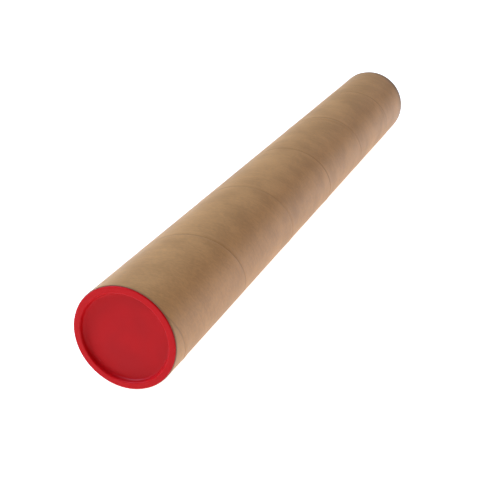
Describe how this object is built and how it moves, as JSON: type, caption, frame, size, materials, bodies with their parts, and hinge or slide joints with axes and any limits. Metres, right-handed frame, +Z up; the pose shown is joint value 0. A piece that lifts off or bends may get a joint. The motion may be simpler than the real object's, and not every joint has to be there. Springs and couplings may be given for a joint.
{
  "type": "drawing tube",
  "caption": "Round spiral-wound kraft paperboard tube for rolled drawings, closed by a recessed red push-in plastic cap at each end.",
  "frame": {"origin": "on the surface that the tube rests on, under the middle of its length and of its width", "axes": "+Y along the tube from the front cap to the rear cap, +Z up from the resting surface, +X to the right seen from the front cap"},
  "size_m": [0.08, 0.6634, 0.08],
  "materials": {
    "kraft_wrap": "matte brown kraft paper with fine fibre mottling",
    "core_board": "matte grey-brown recycled core board",
    "kraft_liner": "matte brown kraft paper",
    "cap_plastic": "soft satin moulded polyethylene"
  },
  "bodies": {
    "tube": {"outer_wrap": "kraft_wrap", "core_ply_4": "core_board", "core_ply_3": "core_board", "core_ply_2": "core_board", "core_ply_1": "core_board", "inner_liner": "kraft_liner"},
    "front_cap": {"front_cap": "cap_plastic"},
    "rear_cap": {"rear_cap": "cap_plastic"}
  },
  "joints": [
    {"name": "front_cap_slide", "type": "slide", "parent": "tube", "child": "front_cap", "axis": [0, -1, 0], "range_m": [0, 0.12]},
    {"name": "rear_cap_slide", "type": "slide", "parent": "tube", "child": "rear_cap", "axis": [0, 1, 0], "range_m": [0, 0.12]}
  ]
}
